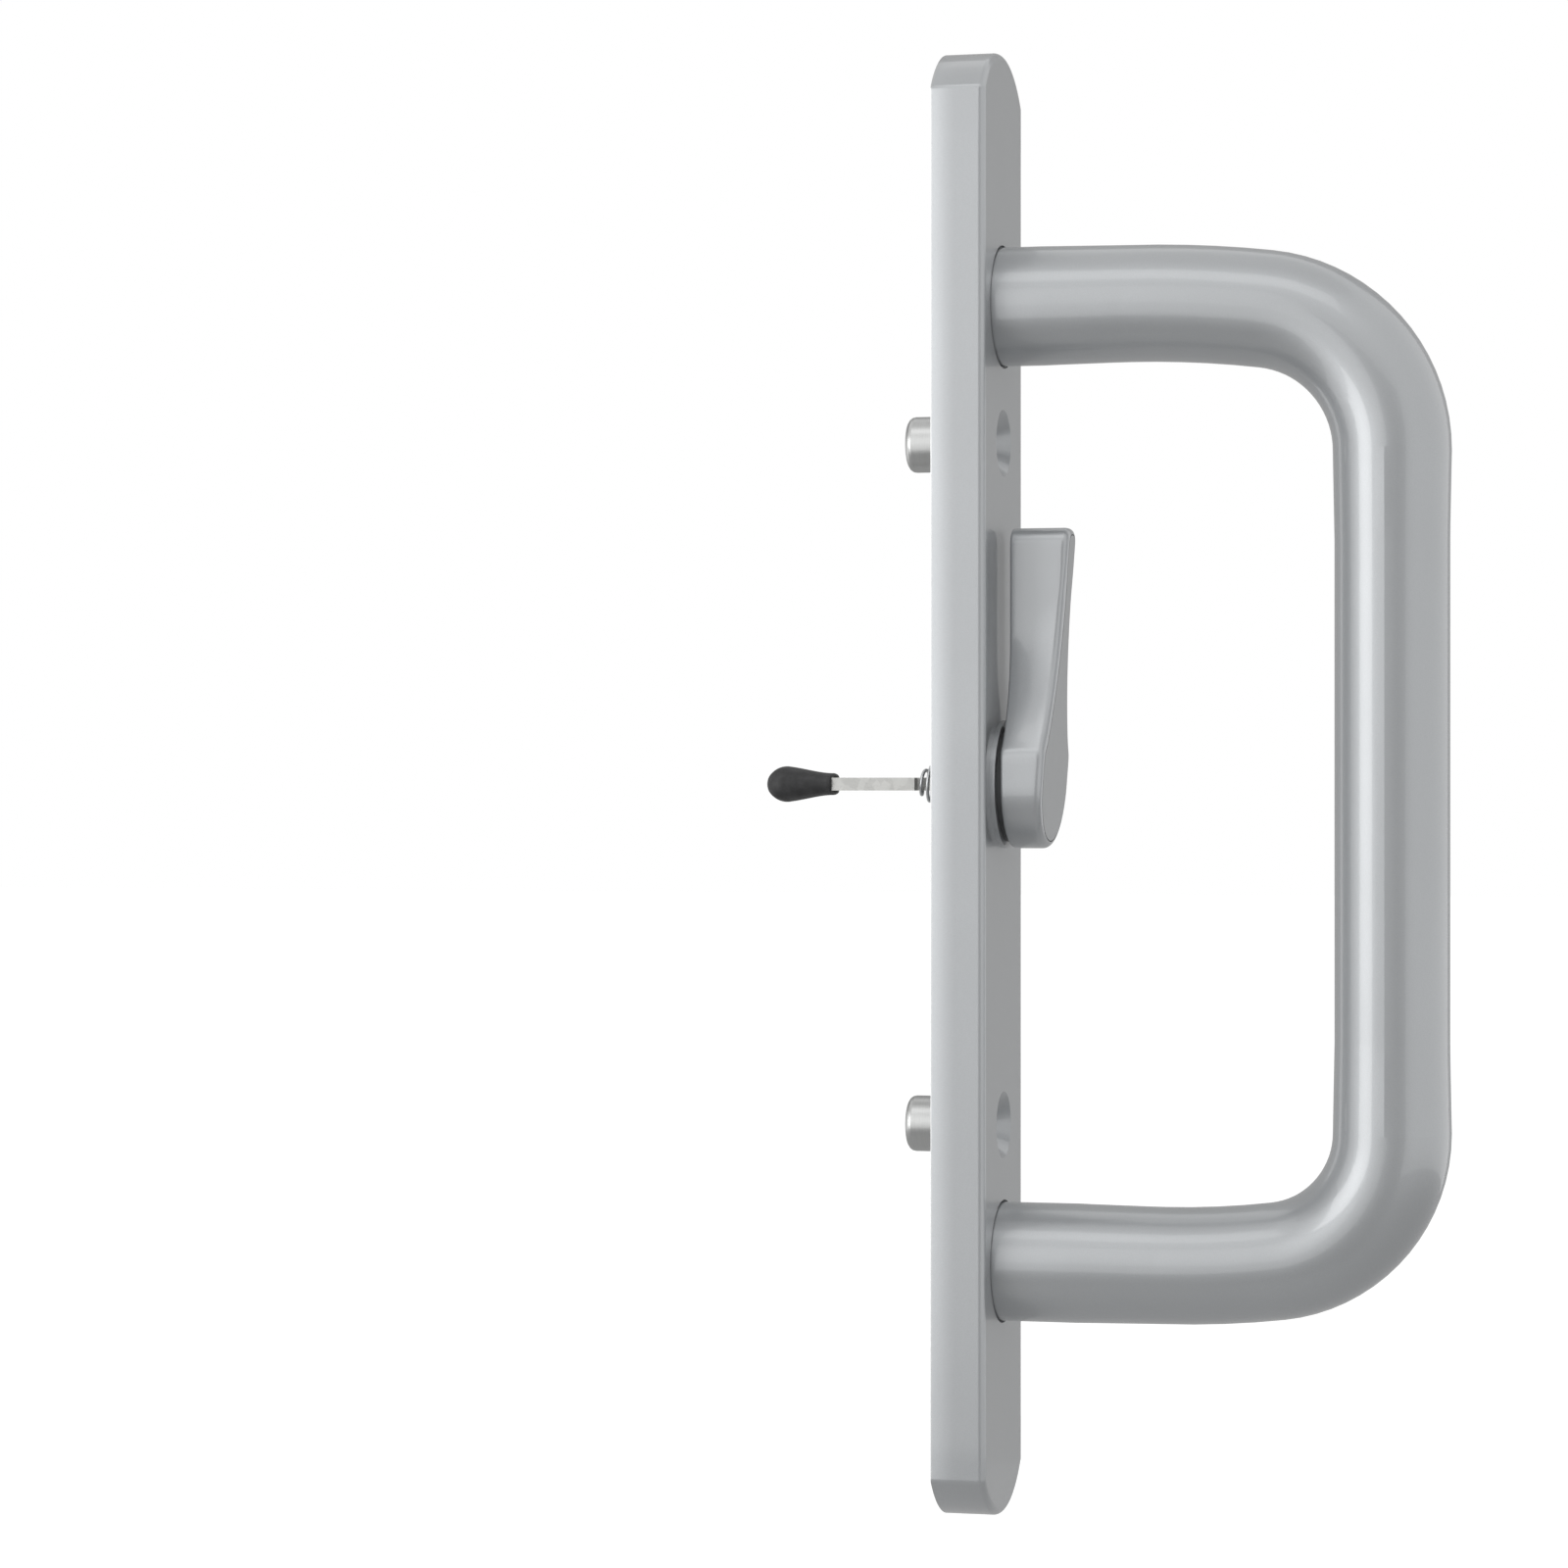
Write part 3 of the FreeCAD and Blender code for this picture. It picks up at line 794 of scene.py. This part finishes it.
    def layers(self) -> list[list[Point]]:
        """Finds rings from the middle of the back edge, up the flanks and over the front edge.

        Returns:
            Rings of (x, out, z).
        """
        back = self.outline(self.scoop_back)
        feet = [(x, self.back_out, z) for x, z in back]
        tops = self.front_edge(back)
        lengths = [math.dist(foot, top) for foot, top in zip(feet, tops)]
        radii = [self.front_radius(z) for _, _, z in tops]
        rings = []
        for inward, down in rounding(90.0, 0.0, self.back_edge_steps):
            inset, rise = self.back_edge * inward, self.back_edge * down
            rings.append([(x + nx * inset, out + rise, z + nz * inset)
                          for (x, out, z), (nx, nz) in zip(feet, self.inward(back))])
        for share in spread(0.0, 1.0, self.wall_steps)[1:]:
            ring = []
            for foot, top, length, radius in zip(feet, tops, lengths, radii):
                low, high = self.back_edge / length, 1 - radius / length
                ring.append(between(foot, top, low + (high - low) * share))
            rings.append(ring)
        slope = math.tan(math.radians(self.slope))
        into_top = self.inward([(x, z) for x, _, z in tops])
        for inward, down in rounding(0.0, 90.0, self.edge_steps)[1:]:
            ring = []
            for foot, top, length, (nx, nz), radius in zip(feet, tops, lengths, into_top, radii):
                inset, drop = radius * inward, radius * down
                wall = [(b - a) / length for a, b in zip(foot, top)]
                ring.append((top[0] - wall[0] * drop + nx * inset,
                             top[1] - wall[1] * drop + slope * nz * inset,
                             top[2] - wall[2] * drop + nz * inset))
            rings.append(ring)
        return rings

    def build(self, shank: "Shank") -> None:
        """Builds hub, paddle and shank as one piece.

        Args:
            shank: The shank behind the hub.
        """
        draft = Draft()
        for ring in self.layers():
            draft.ring([at(*point) for point in ring])
        faces = [tuple(reversed(quad)) for quad in skin(draft.rings)]
        faces += [tuple(draft.rings[-1]), tuple(reversed(draft.rings[0]))]
        faces += shank.add_to(draft, self.back_out)
        piece = new_piece("latch_lever_casting", draft.points, faces, Fitting.PAINTED,
                          "thumb_turn", "latch_lever")
        flatten = piece.modifiers.new("flat_faces", "WEIGHTED_NORMAL")
        flatten.weight = self.flat_weight


@dataclass
class Shank:
    """The lever's shank, with its ring groove and the slot for the bar in its end."""

    radius: float = 5.0
    end_out: float = 1.0
    end_chamfer: float = 0.3
    hub_overlap: float = 0.5
    groove_radius: float = 4.3
    groove_out: Flat = (3.05, 3.85)
    slot_half: Flat = (2.4, 1.05)
    slot_depth: float = 6.0
    sides: int = 48

    def add_to(self, draft: Draft, hub_out: float) -> list[tuple[int, ...]]:
        """Adds the shank's points to the lever's.

        Args:
            draft: The lever's mesh so far.
            hub_out: Where the back of the hub is.

        Returns:
            The shank's faces.
        """
        groove_back, groove_front = self.groove_out
        profile = [(self.radius - self.end_chamfer, self.end_out),
                   (self.radius, self.end_out + self.end_chamfer),
                   (self.radius, groove_back), (self.groove_radius, groove_back),
                   (self.groove_radius, groove_front), (self.radius, groove_front),
                   (self.radius, hub_out + self.hub_overlap)]
        first = len(draft.rings)
        for out in (self.end_out + self.slot_depth, self.end_out):
            draft.ring([at(x, out, z) for x, z in rectangle(*self.slot_half, self.sides)])
        for radius, out in profile:
            draft.ring([at(radius * math.cos(a), out, radius * math.sin(a))
                        for a in once_round(self.sides)])
        rings = draft.rings[first:]
        return skin(rings) + [tuple(reversed(rings[0]))]


@dataclass
class ConicalSpring:
    """The take-up spring: round wire that narrows from the shank to the notches of the bar."""

    wire: float = 0.5
    large_radius: float = 4.5
    small_radius: float = 1.3
    narrowing: float = 1.6
    flat_share: float = 0.1
    first_out: float = 0.73
    last_out: float = -4.6
    turns: float = 5.0
    sides: int = 12
    steps_per_turn: int = 40

    def path(self) -> list[Vector]:
        """Finds the middle of the wire, which lies flat for its first share.

        Returns:
            Points in metres.
        """
        steps = int(self.turns * self.steps_per_turn)
        points = []
        for i in range(steps + 1):
            share = i / steps
            pitch = clamp((share - self.flat_share) / (1 - self.flat_share))
            narrowed = (self.small_radius - self.large_radius) * share ** self.narrowing
            radius = self.large_radius + narrowed
            angle = 2 * math.pi * self.turns * share
            out = self.first_out + (self.last_out - self.first_out) * pitch
            points.append(Vector(at(radius * math.cos(angle), out, radius * math.sin(angle))))
        return points

    def build(self) -> None:
        """Sweeps the wire along its coil."""
        path = self.path()
        last = len(path) - 1
        draft = Draft()
        for i, centre in enumerate(path):
            heading = (path[min(i + 1, last)] - path[max(i - 1, 0)]).normalized()
            across = heading.cross(Vector((0, 1, 0))).normalized()
            along = heading.cross(across)
            draft.ring([tuple(centre + (across * math.cos(a) + along * math.sin(a))
                              * self.wire / 2 * MM) for a in once_round(self.sides)])
        faces = skin(draft.rings)
        faces += [tuple(reversed(draft.rings[0])), tuple(draft.rings[-1])]
        new_piece("take_up_spring", draft.points, faces, Fitting.PLATED, "thumb_turn",
                  "tailpiece_spring")


@dataclass
class SoftCap:
    """The dipped cap on the end of the bar: a flat neck that swells to a round bulb."""

    tip_out: float = -27.5
    length: float = 10.0
    bulb: float = 2.65
    bulb_end: float = 12.0
    bulb_steps: int = 14
    neck: float = 1.62
    neck_steps: int = 16
    neck_ease: float = 0.55
    lip: float = 0.25
    lip_round: float = 0.07
    shift: float = 1.35
    shift_reach: float = 1.6
    shift_power: float = 0.8
    pole_radius: float = 0.02
    mouth_depth: float = 0.05
    pocket_end: float = -25.62
    bar_half: Flat = (2.32, 0.97)
    sides: int = 48

    def profile(self) -> list[Flat]:
        """Finds half height against distance out, from the rounded tip to the mouth.

        Returns:
            Points as (half height, out).
        """
        points = arc((0.0, self.tip_out + self.bulb), self.bulb, -90.0, self.bulb_end,
                     self.bulb_steps)
        start_radius, start_out = points[-1]
        end_out = self.tip_out + self.length
        for share in spread(0.0, 1.0, self.neck_steps)[1:]:
            smooth = share * share * (3 - 2 * share)
            ease = self.neck_ease * smooth + (1 - self.neck_ease) * (1 - (1 - share) ** 2)
            points.append((start_radius + (self.neck - start_radius) * ease,
                           start_out + (end_out - self.lip - start_out) * share))
        return points + [(self.neck - self.lip_round, end_out - self.lip_round),
                         (self.neck - self.lip, end_out)]

    def oblong(self, radius: float, out: float) -> list[Point]:
        """Finds a rounded oblong, wider across than high by the shift on each side.

        Args:
            radius: Its half height.
            out: Its distance out.

        Returns:
            Points in metres, once round.
        """
        ring = []
        for a in once_round(self.sides):
            share = clamp(math.cos(a) * self.shift_reach, -1.0)
            side = self.shift * math.copysign(abs(share) ** self.shift_power, share)
            ring.append(at(side + radius * math.cos(a), out, radius * math.sin(a)))
        return ring

    def build(self) -> None:
        """Builds the cap with its open mouth and the pocket for the bar."""
        draft = Draft()
        for radius, out in self.profile():
            draft.ring(self.oblong(max(radius, self.pole_radius), out))
        for out in (self.tip_out + self.length - self.mouth_depth, self.pocket_end):
            draft.ring([at(x, out, z) for x, z in rectangle(*self.bar_half, self.sides)])
        faces = [tuple(reversed(quad)) for quad in skin(draft.rings)]
        faces += [tuple(draft.rings[0]), tuple(reversed(draft.rings[-1]))]
        new_piece("rubber_cap", draft.points, faces, Fitting.RUBBER, "thumb_turn",
                  "tailpiece_cap")


# Sub-assemblies

@dataclass
class Plate:
    """The escutcheon plate with its posts, and the bush that the lever turns in."""

    plate: str = "escutcheon_plate"
    bush: str = "lever_bushing"
    ends: tuple[PlateEnd, ...] = (PlateEnd("plate_end_upper", 1), PlateEnd("plate_end_lower", -1))

    def build(self) -> None:
        """Finishes plate and bush, and fits the rims of the plate's ends."""
        carry_over(self.plate, Fitting.PAINTED)
        carry_over(self.bush, Fitting.NYLON)
        for end in self.ends:
            end.build()


@dataclass
class Pull:
    """The D-shaped pull and the screws that hold it from behind."""

    pull: str = "d_pull"
    fixings: tuple[str, ...] = ("pull_screw_upper", "pull_screw_lower",
                                "pull_lock_washer_upper", "pull_lock_washer_lower")

    def build(self) -> None:
        """Finishes the pull and its fixings."""
        carry_over(self.pull, Fitting.PAINTED)
        for node in self.fixings:
            carry_over(node, Fitting.PLATED)


@dataclass
class ThumbTurn:
    """The lever, what holds it in the plate, and the tailpiece that it turns."""

    lever: LatchLever
    shank: Shank
    spring: ConicalSpring
    cap: SoftCap

    def build(self) -> None:
        """Builds and finishes the turning pieces."""
        self.lever.build(self.shank)
        self.spring.build()
        self.cap.build()
        carry_over("friction_washer", Fitting.NYLON)
        carry_over("retaining_ring", Fitting.PLATED)
        carry_over("tailpiece_bar", Fitting.GALVANISED)
        carry_over("tailpiece_pin", Fitting.PLATED)


# Studio

class Side(Enum):
    """Where a softbox stands, as (azimuth, elevation); azimuth 0 is the room side, 90 is +X."""

    LEFT_BACK = (225.0, 5.0)
    CAMERA_LEFT = (256.0, 16.0)
    OVERHEAD = (266.0, 56.0)


def toward(azimuth: float, elevation: float) -> Vector:
    """A unit direction from an azimuth and an elevation."""
    a, e = math.radians(azimuth), math.radians(elevation)
    return Vector((math.sin(a) * math.cos(e), -math.cos(a) * math.cos(e), math.sin(e)))


def studio_mesh(name: str, points: Sequence[Point], faces: Sequence[Sequence[int]],
                material: bpy.types.Material) -> bpy.types.Object:
    """Makes a mesh that stands round the handle.

    Args:
        name: Its name.
        points: Its points in metres.
        faces: Its faces, as numbers of points.
        material: Its material.

    Returns:
        The new object.
    """
    mesh = bpy.data.meshes.new(name)
    mesh.from_pydata(points, [], faces)
    mesh.materials.append(material)
    made = bpy.data.objects.new(name, mesh)
    bpy.context.scene.collection.objects.link(made)
    return made


@dataclass(frozen=True)
class GlowingReflectionCard:
    """A curved glowing grey sheet round the handle, seen only in reflections: a painted
    reflection that is darker than the white surround in the handle's gloss.

    Where it would reach under the floor, it lies flat just above it.
    """

    name: str
    azimuths: Flat
    elevations: Flat
    level: float
    distance: float = 1.4
    lowest: float = -0.156
    step: float = 5.0

    def count(self, angles: Flat) -> int:
        """The number of points along one of its sides."""
        return max(2, round((angles[1] - angles[0]) / self.step) + 1)

    def surface(self, graph: Graph) -> Signal:
        """Builds its even grey glow."""
        return graph.node("ShaderNodeEmission", inputs={"Color": WHITE, "Strength": self.level})

    def build(self, target: Vector) -> None:
        """Makes the card.

        Args:
            target: The point that it stands round.
        """
        draft = Draft()
        for elevation in spread(*self.elevations, self.count(self.elevations)):
            reach = self.distance
            if elevation < 0:
                reach = min(reach,
                            (target.z - self.lowest) / math.sin(math.radians(-elevation)))
            draft.ring([tuple(target + toward(azimuth, elevation) * reach)
                        for azimuth in spread(*self.azimuths, self.count(self.azimuths))])
        card = studio_mesh(self.name, draft.points, skin(draft.rings, closed=False),
                           new_material(self.name, self.surface))
        # Seen only by gloss rays: the card paints a darker reflection and casts no light and no
        # shadow.
        card.visible_camera = False
        card.visible_diffuse = False
        card.visible_transmission = False
        card.visible_shadow = False
        LOG.info("%s: grey card, level %.2f", self.name, self.level)


@dataclass(frozen=True)
class Softbox:
    """A rectangular soft lamp that faces the handle."""

    name: str
    side: Side
    distance: float
    width: float
    height: float
    radiance: float

    def build(self, target: Vector) -> None:
        """Makes the lamp.

        Args:
            target: The point that it faces.
        """
        away = toward(*self.side.value)
        lamp = bpy.data.lights.new(self.name, "AREA")
        lamp.shape = "RECTANGLE"
        lamp.size = self.width
        lamp.size_y = self.height
        lamp.energy = self.radiance * math.pi * self.width * self.height
        holder = bpy.data.objects.new(self.name, lamp)
        holder.location = target + away * self.distance
        holder.rotation_mode = "QUATERNION"
        holder.rotation_quaternion = away.to_track_quat("Z", "Y")
        holder.visible_camera = False
        bpy.context.scene.collection.objects.link(holder)
        LOG.info("%s: softbox, radiance %.2f", self.name, self.radiance)


@dataclass
class Studio:
    """A white surround, a pale floor, soft lamps at a plain level, and glowing cards that paint
    darker reflections into the gloss.
    """

    target: Point = (0.0, -0.03, 0.0)
    ambient: float = 0.50
    floor_height: float = -0.16
    floor_size: float = 12.0
    floor_colour: Colour = (0.65, 0.65, 0.65, 1.0)
    floor_glow: float = 0.75
    softboxes: tuple[Softbox, ...] = (
        Softbox("strip_left_back", Side.LEFT_BACK, 0.9, 0.46, 0.56, 2.1),
        Softbox("panel_camera_left", Side.CAMERA_LEFT, 1.1, 0.45, 0.6, 0.4),
        Softbox("panel_overhead", Side.OVERHEAD, 0.9, 0.7, 0.3, 0.8),
    )
    # Glowing sheets seen only in reflections: painted reflections that darken the handle's gloss,
    # the low ones on its undersides.
    cards: tuple[GlowingReflectionCard, ...] = (
        GlowingReflectionCard("card_far_side", (60.0, 150.0), (-22.0, 50.0), 0.42),
        GlowingReflectionCard("card_door_side_high", (150.0, 210.0), (20.0, 50.0), 0.48),
        GlowingReflectionCard("card_camera", (268.0, 305.0), (-22.0, 20.0), 0.46),
        GlowingReflectionCard("card_overhead", (0.0, 360.0), (64.0, 89.9), 0.78),
        GlowingReflectionCard("card_low_round", (0.0, 360.0), (-89.9, -22.0), 0.46),
        GlowingReflectionCard("card_low_camera", (238.0, 306.0), (-52.0, -20.0), 0.34, 1.2, -0.154),
    )

    def build(self) -> None:
        """Builds surround, floor, lamps and cards."""
        self.surround()
        self.floor()
        for fixture in self.softboxes + self.cards:
            fixture.build(Vector(self.target))

    @staticmethod
    def _seen_directly(graph: Graph) -> Signal:
        """Tells rays from the camera, a gloss or through glass from those of soft light.

        Args:
            graph: The graph to build in.

        Returns:
            One where the surface is seen directly, otherwise zero.
        """
        seen = graph.node("ShaderNodeLightPath", output="Is Camera Ray")
        for ray in ("Is Glossy Ray", "Is Transmission Ray"):
            seen = seen.larger(graph.node("ShaderNodeLightPath", output=ray))
        return seen

    def surround(self) -> None:
        """Builds a world that is white where it is seen and plain even light elsewhere."""
        world = bpy.data.worlds.new("white_surround")
        world.use_nodes = True
        graph = Graph(world.node_tree)
        level = self._seen_directly(graph) * (1.0 - self.ambient) + self.ambient
        white = graph.node("ShaderNodeBackground", inputs={"Color": WHITE, "Strength": level})
        graph.node("ShaderNodeOutputWorld", inputs={"Surface": white})
        bpy.context.scene.world = world

    def floor_surface(self, graph: Graph) -> Signal:
        """Builds a pale matt floor that glows where it is seen directly.

        Args:
            graph: The graph to build in.

        Returns:
            The shader.
        """
        lit = graph.node("ShaderNodeBsdfDiffuse", inputs={"Color": self.floor_colour})
        glow = graph.node("ShaderNodeEmission", inputs={
            "Strength": self._seen_directly(graph) * self.floor_glow})
        return graph.node("ShaderNodeAddShader", inputs={0: lit, 1: glow})

    def floor(self) -> None:
        """Builds a pale floor that keeps the handle's soft shadow."""
        half = self.floor_size / 2
        corners = [(-half, -half, 0), (half, -half, 0), (half, half, 0), (-half, half, 0)]
        floor = studio_mesh("studio_floor", corners, [(0, 1, 2, 3)],
                            new_material("pale_floor", self.floor_surface))
        floor.location = (0, 0, self.floor_height)


@dataclass(frozen=True)
class PhotoCamera:
    """The camera at the photograph's place: level, on the handle's left, a little to the room."""

    azimuth: float = 283.18
    distance: float = 0.6924
    frame_pixels: float = 1600.0
    pixels_per_mm: float = 6.928
    origin_pixel: Flat = (969.9, 800.1)
    sensor: float = 36.0
    clip: Flat = (0.01, 50.0)

    def build(self) -> None:
        """Makes the camera and sets it as the scene's."""
        focal_pixels = self.pixels_per_mm * self.distance / MM
        a = math.radians(self.azimuth)
        back = Vector((math.sin(a), -math.cos(a), 0.0))
        half = self.frame_pixels / 2
        turn = math.atan((self.origin_pixel[0] - half) / focal_pixels)
        height = (self.origin_pixel[1] - half) / self.pixels_per_mm * MM
        data = bpy.data.cameras.new("photo_camera")
        data.sensor_width = self.sensor
        data.lens = self.sensor * focal_pixels / self.frame_pixels
        data.clip_start, data.clip_end = self.clip
        camera = bpy.data.objects.new("photo_camera", data)
        camera.location = back * self.distance + Vector((0.0, 0.0, height))
        camera.rotation_mode = "XYZ"
        camera.rotation_euler = (math.pi / 2, 0.0, a + turn)
        bpy.context.scene.collection.objects.link(camera)
        bpy.context.scene.camera = camera
        LOG.info("camera: %.0f mm lens, %.2f m away", data.lens, self.distance)


def main() -> None:
    """Builds the handle, the studio and the camera."""
    logging.basicConfig(level=logging.INFO, format="%(name)s: %(message)s")
    turning = ThumbTurn(LatchLever(), Shank(), ConicalSpring(), SoftCap())
    for assembly in (Plate(), Pull(), turning):
        assembly.build()
    Studio().build()
    PhotoCamera().build()
    bpy.context.scene.view_settings.view_transform = "Standard"


if __name__ == "__main__":
    main()
